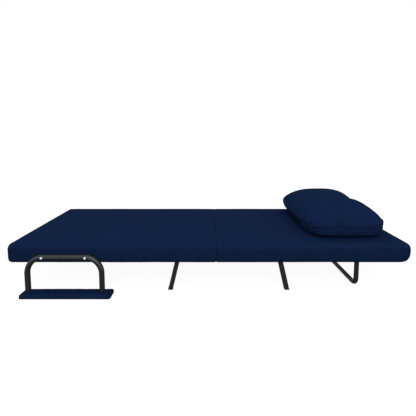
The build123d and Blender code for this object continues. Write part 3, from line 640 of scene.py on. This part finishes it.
@dataclass
class CoverSlab:
    """One stuffed cover of the mattress, from one end to the other."""

    name: str
    x_low: float
    x_high: float
    low_end: End
    high_end: End
    fine_zones: tuple[tuple[float, float], ...]
    half_width: float
    bottom: float
    top: float
    edge_radius: float = 21.0 * MM
    square_radius: float = 16.0 * MM
    square_corner: float = 20.0 * MM
    nose_above: float = 46.0 * MM
    nose_below: float = 76.0 * MM
    nose_corner: float = 62.0 * MM
    crown: float = 3.0 * MM
    side_swell: float = 1.6 * MM
    lump_height: float = 0.8 * MM
    rumple_height: float = 0.3 * MM
    pleat_height: float = 1.7 * MM
    pleat_reach: float = 17.0 * MM
    crease_height: float = 1.3 * MM
    coarse_step: float = 8.0 * MM
    fine_step: float = 2.5 * MM
    seam_groove: float = 1.4 * MM
    seam_reach: float = 6.0 * MM
    fold_lip: float = 0.05 * MM
    calm_reach: float = 60.0 * MM
    seam_x: float = 0.0
    seam_lean: float = 0.0145
    lean_reach: float = 120.0 * MM
    creased: tuple[float, float] = (0.0, 0.0)

    @property
    def middle(self) -> float:
        """Height halfway up the cover."""
        return (self.top + self.bottom) / 2.0

    def stations(self) -> list[float]:
        """Places of the rings along the length, close together where the cover bends, turns or is sewn."""
        x = self.x_low
        places = [x]
        while x < self.x_high:
            fine = any(low - self.coarse_step < x < high for low, high in self.fine_zones)
            x += self.fine_step if fine else self.coarse_step
            places.append(min(x, self.x_high))
        turns = 14
        for end, edge, inward in ((self.low_end, self.x_low, 1.0), (self.high_end, self.x_high, -1.0)):
            reach = {End.SQUARE: self.square_radius, End.BULLNOSE: self.nose_below}.get(end, 0.0)
            if reach:
                places = [place for place in places if (place - edge) * inward > reach]
                shares = (1.0 - math.cos(math.pi / 2.0 * step / turns) for step in range(turns + 1))
                places += [edge + inward * reach * max(share, 0.0008) for share in shares]
        return sorted(set(places))

    @staticmethod
    def _turn_in(distance: float, reach: float, depth: float) -> float:
        """How far an elliptical edge is drawn in at a distance from its end."""
        if distance >= reach:
            return 0.0
        return depth * (1.0 - math.sqrt(max(0.0, 1.0 - ((reach - distance) / reach) ** 2)))

    def inset(self, x: float) -> tuple[float, float, float]:
        """How far the skin is drawn in at a place: on the sides, on top and underneath."""
        side_in, top_in, under_in = 0.0, 0.0, 0.0
        nose_depth = (self.top - self.bottom) / 2.0 - 0.4 * MM
        for end, distance in ((self.low_end, x - self.x_low), (self.high_end, self.x_high - x)):
            if end is End.SEAM:
                drop = self.seam_groove * max(0.0, 1.0 - distance / self.seam_reach) ** 2
                side_in, top_in, under_in = max(side_in, drop), max(top_in, drop), max(under_in, drop)
            elif end is End.SQUARE:
                turned = self._turn_in(distance, self.square_radius, self.square_radius)
                side_in = max(side_in, self._turn_in(distance, self.square_corner, self.square_corner))
                top_in, under_in = max(top_in, turned), max(under_in, turned)
            elif end is End.BULLNOSE:
                side_in = max(side_in, self._turn_in(distance, self.nose_corner, self.nose_corner))
                top_in = max(top_in, self._turn_in(distance, self.nose_above, nose_depth))
                under_in = max(under_in, self._turn_in(distance, self.nose_below, nose_depth))
        return side_in, top_in, under_in

    def section(
        self, side_in: float, top_in: float, under_in: float
    ) -> list[tuple[float, float, float, float]]:
        """One ring across the cover.

        Args:
            side_in: how far it is drawn in at the sides.
            top_in: how far it is drawn in on top.
            under_in: how far it is drawn in underneath.

        Returns:
            For each point its y, z and the outward direction in y and z.
        """
        half_y = self.half_width - side_in
        high, low = self.top - top_in, self.bottom + under_in
        middle, half_z = (high + low) / 2.0, (high - low) / 2.0
        radius = min(self.edge_radius, half_z * 0.96)
        corner_steps = 9
        runs = ((1, 1, 64), (-1, 1, 8), (-1, -1, 64), (1, -1, 8))
        ring = []
        for number, (sign_y, sign_z, straight) in enumerate(runs):
            turn = number * math.pi / 2.0
            for step in range(corner_steps):
                angle = turn + math.pi / 2.0 * step / corner_steps
                out_y, out_z = math.cos(angle), math.sin(angle)
                ring.append((sign_y * (half_y - radius) + radius * out_y,
                             middle + sign_z * (half_z - radius) + radius * out_z, out_y, out_z))
            out_y, out_z = round(math.cos(turn + math.pi / 2.0)), round(math.sin(turn + math.pi / 2.0))
            next_y, next_z, _ = runs[(number + 1) % 4]
            start = Vector((sign_y * (half_y - radius), middle + sign_z * (half_z - radius)))
            stop = Vector((next_y * (half_y - radius), middle + next_z * (half_z - radius)))
            for step in range(straight):
                y, z = start.lerp(stop, step / straight)
                ring.append((y + radius * out_y, z + radius * out_z, out_y, out_z))
        return ring

    def relief(self, x: float, y: float, z: float, out_y: float, out_z: float) -> float:
        """How far the stuffed cloth stands out from the plain shape at a place."""
        half_z = (self.top - self.bottom) / 2.0
        inland = 1.0
        if self.low_end in (End.SQUARE, End.BULLNOSE):
            inland = min(inland, ramp(x - self.x_low, 0.0, self.calm_reach))
        if self.high_end in (End.SQUARE, End.BULLNOSE):
            inland = min(inland, ramp(self.x_high - x, 0.0, self.calm_reach))
        swell = abs(out_z) * self.crown * max(0.0, 1.0 - (y / self.half_width) ** 2)
        swell += abs(out_y) * self.side_swell * max(0.0, 1.0 - ((z - self.middle) / half_z) ** 2)
        soft = self.lump_height * ripple(x * 5.5, y * 5.5, z * 5.5, 1.0)
        soft += self.rumple_height * ripple(x * 17.0, y * 17.0, z * 17.0, 2.0)
        from_seam = abs(x - self.seam_x)
        gather = math.exp(-from_seam / self.pleat_reach) * ramp(from_seam, 1.0 * MM, 7.0 * MM)
        seed = 3.0 + math.copysign(0.5, x - self.seam_x)
        pleat = self.pleat_height * gather * ripple(0.0, y * 52.0, z * 52.0, seed)
        low, high = self.creased
        sag = ramp(x, low, low + 60.0 * MM) * (1.0 - ramp(x, high - 90.0 * MM, high)) if high > low else 0.0
        crease = self.crease_height * sag * abs(out_y) * ripple(x * 6.0, 0.0, z * 75.0, 5.0)
        return (swell + soft) * (0.15 + 0.85 * inland) + pleat + crease

    def ring_at(self, x: float, lift: float = 0.0) -> list[Point]:
        """The finished ring of the cover at a place along it, optionally lifted off the cloth."""
        ring = []
        lean = self.seam_lean * math.exp(-abs(x - self.seam_x) / self.lean_reach)
        for y, z, out_y, out_z in self.section(*self.inset(x)):
            stand = self.relief(x, y, z, out_y, out_z) + lift
            ring.append((x + lean * y, y + out_y * stand, z + out_z * stand))
        return ring

    def end_rings(self, ring: Sequence[Point], outward: float, end: End) -> list[list[Point]]:
        """Rings that close an end, from its edge to its middle."""
        bulge = {End.SQUARE: 1.6 * MM, End.BULLNOSE: 0.1 * MM, End.SEAM: -3.0 * MM, End.FOLD: 0.0}[end]
        rings = []
        if end is End.FOLD:
            ring = [(x + outward * self.fold_lip, y, z) for x, y, z in ring]
            rings.append(ring)
        for share in (0.93, 0.80, 0.62, 0.42, 0.20):
            drawn_in = (1.0 - share) * (self.top - self.bottom) / 2.0
            rings.append([
                (x + outward * bulge * (1.0 - share**2), math.copysign(max(0.0, abs(y) - drawn_in), y),
                 self.middle + (z - self.middle) * share)
                for x, y, z in ring
            ])
        return rings

    def build(self, finish: bpy.types.Material) -> bpy.types.Object:
        """Make the cover's mesh."""
        rings = [self.ring_at(x) for x in self.stations()]
        low_rings = self.end_rings(rings[0], -1.0, self.low_end)[::-1]
        high_rings = self.end_rings(rings[-1], 1.0, self.high_end)
        points, faces = loft([*low_rings, *rings, *high_rings])
        return new_piece(self.name, points, faces, finish)


@dataclass
class StitchRow:
    """A row of lockstitches lying on a ring of cloth."""

    name: str
    length: float = 3.6 * MM
    pitch: float = 5.0 * MM
    radius: float = 0.45 * MM

    def build(self, path: Sequence[Point], finish: bpy.types.Material) -> bpy.types.Object:
        """Lay one short thread after another along a closed path.

        Args:
            path: points on the cloth, in order round the ring.
            finish: the thread's material.

        Returns:
            The row as one piece.
        """
        corners = [Vector(point) for point in path] + [Vector(path[0])]
        points: list[Point] = []
        faces: list[list[int]] = []
        travelled = 0.0
        next_start = 0.0
        for start, stop in zip(corners, corners[1:]):
            run = (stop - start).length
            while run > 0.0 and next_start <= travelled + run:
                middle = start.lerp(stop, (next_start - travelled) / run)
                self._thread(middle, (stop - start).normalized(), points, faces)
                next_start += self.pitch
            travelled += run
        return new_piece(self.name, points, faces, finish)

    def _thread(self, middle: Vector, along: Vector, points: list[Point], faces: list[list[int]]) -> None:
        """Add one stitch: a short thread with rounded ends."""
        side = along.cross(Vector((1.0, 0.0, 0.0))).normalized()
        other = along.cross(side)
        base, sides = len(points), 6
        profile = ((-0.5, 0.25), (-0.38, 0.8), (0.0, 1.0), (0.38, 0.8), (0.5, 0.25))
        for place, width in profile:
            for i in range(sides):
                angle = 2.0 * math.pi * i / sides
                spread = side * math.cos(angle) + other * math.sin(angle)
                spread *= width * self.radius
                points.append(tuple(middle + along * (place * self.length) + spread))
        last = len(profile) - 1
        for row in range(last):
            for i in range(sides):
                j = (i + 1) % sides
                near, far = base + row * sides, base + (row + 1) * sides
                faces.append([near + i, near + j, far + j, far + i])
        faces.append([base + i for i in range(sides)][::-1])
        faces.append([base + last * sides + i for i in range(sides)])


@dataclass
class Mattress:
    """The three sewn covers of the mattress.

    The foot cover ends at the fold, the front cover runs from the fold to the seam, and the rear cover runs
    from the seam over the recline hinge to the head end.
    """

    proud: float = 8.5 * MM
    side_room: float = 1.6 * MM
    end_room: float = 2.4 * MM
    nose_proud: float = 4.0 * MM
    fold_gap: float = 0.1 * MM
    seam_gap: float = 0.35 * MM
    folded_thickness: float = 0.74
    hinge_reach: float = 46.0 * MM
    seam_zone: float = 45.0 * MM
    fold_zone: float = 10.0 * MM
    covers: list[CoverSlab] = field(default_factory=list)

    def __post_init__(self) -> None:
        """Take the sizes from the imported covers."""
        foot_low, foot_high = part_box("foot_cover")
        _, front_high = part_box("base_cover_front")
        back_low, back_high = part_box("back_cover")
        joints = {joint["name"]: joint for joint in frame["record"]["behaviour"]["joints"]}
        self.flip_x = joints["foot_flip"]["pos_m"][0]
        self.recline_x = joints["back_recline"]["pos_m"][0]
        self.pivot_z = joints["foot_flip"]["pos_m"][2]
        self.seam_x = front_high[0] + 0.1 * MM
        shape = {
            "half_width": foot_high[1] - self.side_room,
            "bottom": foot_low[2],
            "top": foot_high[2] + self.proud,
            "seam_x": self.seam_x,
        }
        seam = (self.seam_x - self.seam_zone, self.seam_x + self.seam_zone)
        flip = (self.flip_x - self.fold_zone, self.flip_x + self.fold_zone)
        recline = (self.recline_x - self.hinge_reach, self.recline_x + self.hinge_reach)
        ends = ((foot_low[0], foot_low[0] + 30.0 * MM), (back_high[0] - 70.0 * MM, back_high[0]))
        self.foot = CoverSlab(
            "mattress_cover_foot", foot_low[0] + self.end_room, self.flip_x - self.fold_gap,
            End.SQUARE, End.FOLD,
            (ends[0], flip), **shape,
        )
        self.front = CoverSlab(
            "mattress_cover_front", self.flip_x + self.fold_gap, self.seam_x - self.seam_gap,
            End.FOLD, End.SEAM,
            (flip, seam), **shape,
        )
        self.rear = CoverSlab(
            "mattress_cover_rear", self.seam_x + self.seam_gap, back_high[0] + self.nose_proud,
            End.SEAM, End.BULLNOSE,
            (seam, recline, ends[1]), creased=(self.seam_x + 5.0 * MM, self.recline_x + 80.0 * MM), **shape,
        )
        self.covers = [self.foot, self.front, self.rear]

    def build(self, finishes: Finishes) -> list[bpy.types.Object]:
        """Make the covers and the stitching beside the seam."""
        foot, front, rear = (cover.build(finishes.cloth) for cover in self.covers)
        foot_nodes = ("foot_cover", "foot_foam_lower", "foot_foam_upper")
        rear_nodes = (
            "base_cover_rear", "back_cover", "base_foam_lower", "base_foam_upper", "back_foam_lower",
            "back_foam_upper",
        )
        for piece, nodes in ((foot, foot_nodes), (front, ("base_cover_front",)), (rear, rear_nodes)):
            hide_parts(*nodes)
        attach(foot, "foot_section")
        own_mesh(foot)
        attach(front, "base_section")
        self.recline_x - self.hinge_reach
        self.recline_x + self.hinge_reach
        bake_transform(rear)
        rows = []
        for cover, offset in ((self.front, -6.0 * MM), (self.rear, 6.0 * MM)):
            row = StitchRow(f"{cover.name}_stitches")
            stitches = row.build(cover.ring_at(self.seam_x + offset, lift=0.1 * MM), finishes.thread)
            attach(stitches, "base_section")
            rows.append(stitches)
        return [foot, front, rear, *rows]


# Arm pads -----------------------------------------------------------------------------------------
@dataclass
class ArmPad:
    """The upholstered pad at the foot of one arm bow."""

    side: str
    swell: float = 2.0 * MM
    corner: float = 9.0 * MM
    under_round: float = 1.6 * MM
    upper_round: float = 6.0 * MM
    tab_reach: float = 21.0 * MM
    floor_gap: float = 0.4 * MM
    seam_height: float = 5.0 * MM
    edge_width: float = 1.5 * MM
    edge_depth: float = 0.5 * MM
    gather_depth: float = 0.25 * MM
    lump_height: float = 0.8 * MM
    dent_width: float = 19.0 * MM
    dent_depth: float = 1.6 * MM

    def build(self, finishes: Finishes) -> bpy.types.Object:
        """Make the pad: a stuffed bar, flat where it lies, pressed in a little round the bow's feet."""
        low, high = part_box(f"arm_pad_cover_{self.side}")
        bow_low, bow_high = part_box(f"arm_bow_{self.side}")
        centre_y = (low.y + high.y) / 2.0
        foot_places = (bow_low.x + self.tab_reach, bow_high.x - self.tab_reach)
        feet = [Vector((x, (bow_low.y + bow_high.y) / 2.0)) for x in foot_places]
        piece = self._blank(f"arm_pad_{self.side}", low, high, finishes.cloth)
        Inflation(voxel=3.0 * MM, pressure=3.0, cap=2.6 * MM, frames=14).run(piece)
        floor = low.z + self.floor_gap
        seam_z = low.z + self.seam_height

        def settle(point: Vector) -> Vector:
            """Add the sewn edge, the dents at the bow's feet and small gathers; keep off the floor."""
            inward = Vector((0.0, math.copysign(1.0, centre_y - point.y), 0.0))
            edge = bell(point.z - seam_z, self.edge_width)
            gather = self.gather_depth * ripple(point.x * 90.0, point.y * 90.0, 0.0, 8.0)
            moved = point + inward * (edge * self.edge_depth + gather)
            above = ramp(point.z, seam_z, high.z)
            dent = sum(bell((point.xy - foot).length, self.dent_width) for foot in feet)
            lumps = self.lump_height * ripple(point.x * 24.0, point.y * 30.0, 0.0, 9.0)
            moved.z += above * (lumps - self.dent_depth * dent)
            moved.z = min(high.z + self.swell, max(floor, moved.z))
            return moved

        refine(piece)
        reshape(piece, settle)
        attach(piece, "foot_section")
        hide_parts(f"arm_pad_cover_{self.side}", f"arm_pad_foam_{self.side}")
        return piece

    def _blank(self, name: str, low: Vector, high: Vector, finish: bpy.types.Material) -> bpy.types.Object:
        """The pad before it is stuffed: a bar with round corners and rounded edges."""
        bottom, top = low.z + 0.5 * MM, high.z - 0.4 * MM
        rings = []
        for step in range(6):
            angle = math.pi / 2.0 * step / 5.0
            inset = self.under_round * (1.0 - math.sin(angle))
            z = bottom + self.under_round * (1.0 - math.cos(angle))
            rings.append(self._outline(low, high, inset, z))
        for step in range(8):
            angle = math.pi / 2.0 * step / 7.0
            inset = self.upper_round * (1.0 - math.cos(angle))
            z = top - self.upper_round * (1.0 - math.sin(angle))
            rings.append(self._outline(low, high, inset, z))
        points, faces = loft(rings)
        return new_piece(name, points, faces, finish)

    def _outline(self, low: Vector, high: Vector, inset: float, z: float) -> list[Point]:
        """The pad's outline from above at a height."""
        corners = ((high.x, high.y), (low.x, high.y), (low.x, low.y), (high.x, low.y))
        signs = ((1, 1), (-1, 1), (-1, -1), (1, -1))
        ring = []
        for number, ((x, y), (sign_x, sign_y)) in enumerate(zip(corners, signs)):
            for step in range(7):
                angle = number * math.pi / 2.0 + math.pi / 2.0 * step / 6.0
                ring.append((x - sign_x * (inset + self.corner) + self.corner * math.cos(angle),
                             y - sign_y * (inset + self.corner) + self.corner * math.sin(angle), z))
        return ring


# Pillow -------------------------------------------------------------------------------------------
@dataclass
class Pillow:
    """A plump box pillow with a narrow band between two sewn edges, hollowed across its middle."""

    seam_height: float = 38.0 * MM
    band: float = 17.0 * MM
    near_fall: float = 0.09
    dip_at: float = -0.04
    dip: float = 0.15
    dip_width: float = 0.24
    squareness: float = 5.6
    rest_gap: float = 2.0 * MM
    fuller: Point = (11.0 * MM, 12.0 * MM, 7.0 * MM)
    under_lean: float = 34.0 * MM
    lean_height: float = 70.0 * MM
    top_room: float = 14.0 * MM
    piping_r: float = 1.1 * MM
    groove_width: float = 2.6 * MM
    groove_depth: float = 3.6 * MM
    gather_height: float = 46.0 * MM
    gather_depth: float = 11.0 * MM
    lump_height: float = 2.2 * MM
    lump_start: float = 30.0 * MM

    def __post_init__(self) -> None:
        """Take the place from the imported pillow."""
        self.low, self.high = (Vector(corner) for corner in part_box("pillow_cover"))
        self.centre = (self.low + self.high) / 2.0
        self.half = (self.high - self.low) / 2.0 + Vector(self.fuller)

    def outline(self, share: float, z: float, steps: int = 160) -> list[Point]:
        """The pillow's outline from above, drawn towards its middle by a share of its size."""
        ring = []
        power = 2.0 / self.squareness
        for i in range(steps):
            angle = 2.0 * math.pi * i / steps
            c, s = math.cos(angle), math.sin(angle)
            x = math.copysign(abs(c) ** power, c) * self.half.x
            y = math.copysign(abs(s) ** power, s) * self.half.y
            ring.append((self.centre.x + x * share, self.centre.y + y * share, z))
        return ring

    def top_height(self, x: float, y: float) -> float:
        """Height of the upper panel above its sewn edge, as a share of the whole."""
        u = min(1.0, abs(x - self.centre.x) / (self.half.x + 1.0 * MM))
        v = max(-1.0, min(1.0, (y - self.centre.y) / (self.half.y + 1.0 * MM)))
        across = (1.0 - u**3.0) ** 0.60
        along = (1.0 - abs(v) ** 3.6) ** 0.52
        hollow = 1.0 - self.dip * bell(v - self.dip_at, self.dip_width)
        fall = 1.0 - self.near_fall * ramp(-v, -0.2, 1.0)
        return across * along * hollow * fall

    def blank(self, rest_z: float, finish: bpy.types.Material) -> bpy.types.Object:
        """The pillow before it is stuffed."""
        edge_low = rest_z + self.seam_height - self.band / 2.0
        edge_high = edge_low + self.band
        rise = self.high.z + self.fuller[2] - edge_high
        shares = (0.20, 0.40, 0.58, 0.70, 0.80, 0.88, 0.93, 0.965, 0.985, 0.996)
        rings = []
        for share in shares:
            ring = self.outline(share, 0.0)
            drop = (edge_low - rest_z) * min(1.0, 2.4 * math.sqrt(max(0.0, 1.0 - share**2.2)))
            rings.append([(x, y, edge_low - drop) for x, y, _ in ring])
        rings.append(self.outline(1.0, edge_low))
        rings.append(self.outline(1.0, edge_high))
        for share in reversed(shares):
            ring = self.outline(share, 0.0)
            rings.append([(x, y, edge_high + rise * self.top_height(x, y)) for x, y, _ in ring])
        points, faces = loft(rings)
        return new_piece("pillow", points, faces, finish)

    def build(self, rest_z: float, finishes: Finishes) -> list[bpy.types.Object]:
        """Make the stuffed pillow and the piping of its two sewn edges.

        Args:
            rest_z: height of the cloth that it lies on.
            finishes: the finishes.

        Returns:
            The pillow and its piping.
        """
        bottom = rest_z + self.rest_gap
        piece = self.blank(bottom, finishes.cloth)
        Inflation(voxel=5.0 * MM, pressure=4.0, cap=12.0 * MM).run(piece)
        refine(piece)
        edge_low = bottom + self.seam_height - self.band / 2.0
        edge_high = edge_low + self.band

        def sew(point: Vector) -> Vector:
            """Draw the cloth in at both sewn edges, gather it above them, tuck it under and rest it flat."""
            offset = Vector((point.x - self.centre.x, point.y - self.centre.y, 0.0))
            u, v = offset.x / self.half.x, offset.y / self.half.y
            rim = ramp(max(abs(u), abs(v)), 0.80, 0.97)
            outward = offset.normalized() if offset.length > 0 else offset
            from_edges = (point.z - edge_low, point.z - edge_high)
            groove = sum(bell(distance, self.groove_width) for distance in from_edges)
            above = max(0.0, point.z - edge_high)
            gather = math.exp(-above / self.gather_height) * rim
            gather *= ramp(point.z, edge_high, edge_high + 5.0 * MM)
            fold = ripple(point.x * 25.0, point.y * 25.0, above * 9.0, 11.0)
            fold += 0.5 * ripple(point.x * 58.0, point.y * 58.0, above * 16.0, 12.0)
            lumps = self.lump_height * ripple(point.x * 7.0, point.y * 7.0, point.z * 5.0, 13.0)
            moved = point - outward * (groove * rim * self.groove_depth)
            moved += outward * (gather * fold * self.gather_depth)
            lean = 1.0 - ramp(point.z, bottom, bottom + self.lean_height)
            rearward = 0.45 + 0.55 * ramp(v, -1.0, 0.0)
            tuck = max(0.0, -u) ** 2 * rearward - 0.3 * max(0.0, u) ** 2
            moved.x += self.under_lean * lean * tuck
            moved.z += lumps * ramp(point.z, edge_high, edge_high + self.lump_start)
            moved.z = min(self.high.z + self.top_room, max(moved.z, bottom))
            return moved

        reshape(piece, sew)
        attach(piece, "pillow")
        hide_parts("pillow_cover", "pillow_filling", "pillow_zip")
        pieces = [piece]
        for name, level in (("pillow_piping_low", edge_low), ("pillow_piping_high", edge_high)):
            cord = self._piping(name, piece, level, finishes.cloth)
            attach(cord, "pillow")
            pieces.append(cord)
        return pieces

    def _piping(
        self, name: str, piece: bpy.types.Object, level: float, finish: bpy.types.Material
    ) -> bpy.types.Object:
        """A thin covered piping round the pillow, lying on its cloth at a height.

        Args:
            name: the piping's name.
            piece: the finished pillow.
            level: height of the sewn edge.
            finish: the cloth.

        Returns:
            The piping as a closed ring.
        """
        corners = [vertex.co for vertex in piece.data.vertices]
        tree = BVHTree.FromPolygons(corners, [face.vertices for face in piece.data.polygons])
        steps, sides = 260, 8
        middles = []
        for x, y, _ in self.outline(1.0, level, steps=steps):
            outside = Vector((x, y, level)) + Vector((x - self.centre.x, y - self.centre.y, 0.0)) * 0.3
            inward = Vector((self.centre.x, self.centre.y, level)) - outside
            hit = tree.ray_cast(outside, inward.normalized())[0]
            middles.append(hit if hit is not None else Vector((x, y, level)))
        points: list[Point] = []
        for i, middle in enumerate(middles):
            along = (middles[(i + 1) % steps] - middles[i - 1]).normalized()
            outward = along.cross(Vector((0.0, 0.0, 1.0))).normalized()
            for j in range(sides):
                angle = 2.0 * math.pi * j / sides
                spoke = outward * math.cos(angle) + Vector((0.0, 0.0, math.sin(angle)))
                points.append(tuple(middle + spoke * self.piping_r))
        faces = []
        for i in range(steps):
            near, far = i * sides, (i + 1) % steps * sides
            for j in range(sides):
                k = (j + 1) % sides
                faces.append([near + j, near + k, far + k, far + j])
        return new_piece(name, points, faces, finish)


# Frame and hardware -------------------------------------------------------------------------------
class Hardware:
    """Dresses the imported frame, tubes, plates, fasteners and stuffing in their finishes."""

    def dress(self, finishes: Finishes) -> int:
        """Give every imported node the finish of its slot.

        Args:
            finishes: the finishes.

        Returns:
            How many nodes were dressed.
        """
        by_slot = finishes.by_slot()
        slots = {entry["node"]: entry["material_slot"] for entry in frame["record"]["subparts"]}
        for name, node in frame["nodes"].items():
            finish = by_slot[slots[name]]
            if not node.material_slots:
                node.data.materials.append(finish)
            for place in node.material_slots:
                place.material = finish
        return len(frame["nodes"])


# Studio -------------------------------------------------------------------------------------------
@dataclass
class Studio:
    """Pale floor, soft white light and the camera."""

    eye: Point = (-0.0199, -1.5913, 0.7698)
    tilt: float = 4.914
    lens: float = 24.34
    shift: tuple[float, float] = (0.0036, -0.1275)
    ground_light: float = 0.10
    zenith_light: float = 0.6

    def aim(self) -> bpy.types.Object:
        """Set up the camera."""
        data = bpy.data.cameras.new("camera")
        data.lens = self.lens
        data.sensor_width = 36.0
        data.shift_x, data.shift_y = self.shift
        data.clip_end = 1000.0
        camera = bpy.data.objects.new("camera", data)
        camera.location = self.eye
        camera.rotation_euler = (math.radians(90.0 - self.tilt), 0.0, 0.0)
        bpy.context.scene.collection.objects.link(camera)
        bpy.context.scene.camera = camera
        return camera

    def light(self) -> None:
        """Set up the world and the softboxes."""
        scene = bpy.context.scene
        scene.view_settings.view_transform = "Standard"
        world = bpy.data.worlds.new("studio")
        scene.world = world
        world.use_nodes = True
        self._sky(world.node_tree)
        self._softbox("overhead", (0.0, -0.2, 3.2), (0.0, 0.0, 0.2), 3.0, 4.0)
        self._softbox("front_fill", (0.2, -3.0, 2.4), (0.0, 0.0, 0.2), 2.4, 50.0)

    def _sky(self, tree: bpy.types.NodeTree) -> None:
        """White from the horizon up, a little less bright overhead, and a dark grey below it."""
        background = tree.nodes["Background"]
        direction = tree.nodes.new("ShaderNodeTexCoord")
        parts = tree.nodes.new("ShaderNodeSeparateXYZ")
        rise = tree.nodes.new("ShaderNodeMapRange")
        rise.interpolation_type = "SMOOTHSTEP"
        self._set_range(rise, -0.12, -0.005, self.ground_light, 1.0)
        tree.links.new(direction.outputs["Generated"], parts.inputs[0])
        tree.links.new(parts.outputs["Z"], rise.inputs["Value"])
        zenith = tree.nodes.new("ShaderNodeMapRange")
        self._set_range(zenith, 0.4, 1.0, 1.0, self.zenith_light)
        tree.links.new(parts.outputs["Z"], zenith.inputs["Value"])
        both = tree.nodes.new("ShaderNodeMath")
        both.operation = "MULTIPLY"
        tree.links.new(rise.outputs["Result"], both.inputs[0])
        tree.links.new(zenith.outputs["Result"], both.inputs[1])
        tree.links.new(both.outputs[0], background.inputs["Strength"])
        background.inputs["Color"].default_value = (1.0, 1.0, 1.0, 1.0)

    @staticmethod
    def _set_range(node: bpy.types.Node, *limits: float) -> None:
        """Set a range node: from low, from high, to low, to high."""
        for key, value in zip(("From Min", "From Max", "To Min", "To Max"), limits):
            node.inputs[key].default_value = value

    @staticmethod
    def _softbox(name: str, place: Point, target: Point, size: float, power: float) -> None:
        """Hang one square softbox."""
        data = bpy.data.lights.new(name, "AREA")
        data.size = size
        data.energy = power
        lamp = bpy.data.objects.new(name, data)
        direction = Vector(target) - Vector(place)
        turn = direction.to_track_quat("-Z", "Y").to_matrix().to_4x4()
        lamp.matrix_world = Matrix.Translation(place) @ turn
        bpy.context.scene.collection.objects.link(lamp)

    def floor(self, finish: bpy.types.Material) -> None:
        """Lay the floor."""
        reach = 400.0
        corners = [(-reach, -reach, 0.0), (reach, -reach, 0.0), (reach, reach, 0.0), (-reach, reach, 0.0)]
        floor = new_piece("studio_floor", corners, [[0, 1, 2, 3]], finish)
        floor.visible_diffuse = False
        floor.visible_glossy = False


def main() -> None:
    """Build the sofa bed piece by piece."""
    logging.basicConfig(level=logging.INFO, format="%(message)s")
    studio = Studio()
    studio.aim()
    finishes = Finishes()
    studio.light()
    studio.floor(finishes.floor)
    LOG.info("dressed %d packed nodes", Hardware().dress(finishes))
    mattress = Mattress()
    for piece in mattress.build(finishes):
        LOG.info("%s: %d points", piece.name, len(piece.data.vertices))
    for side in ("left", "right"):
        piece = ArmPad(side).build(finishes)
        LOG.info("%s: %d points", piece.name, len(piece.data.vertices))
    for piece in Pillow().build(mattress.front.top + mattress.front.crown, finishes):
        LOG.info("%s: %d points", piece.name, len(piece.data.vertices))


if __name__ == "__main__":
    main()
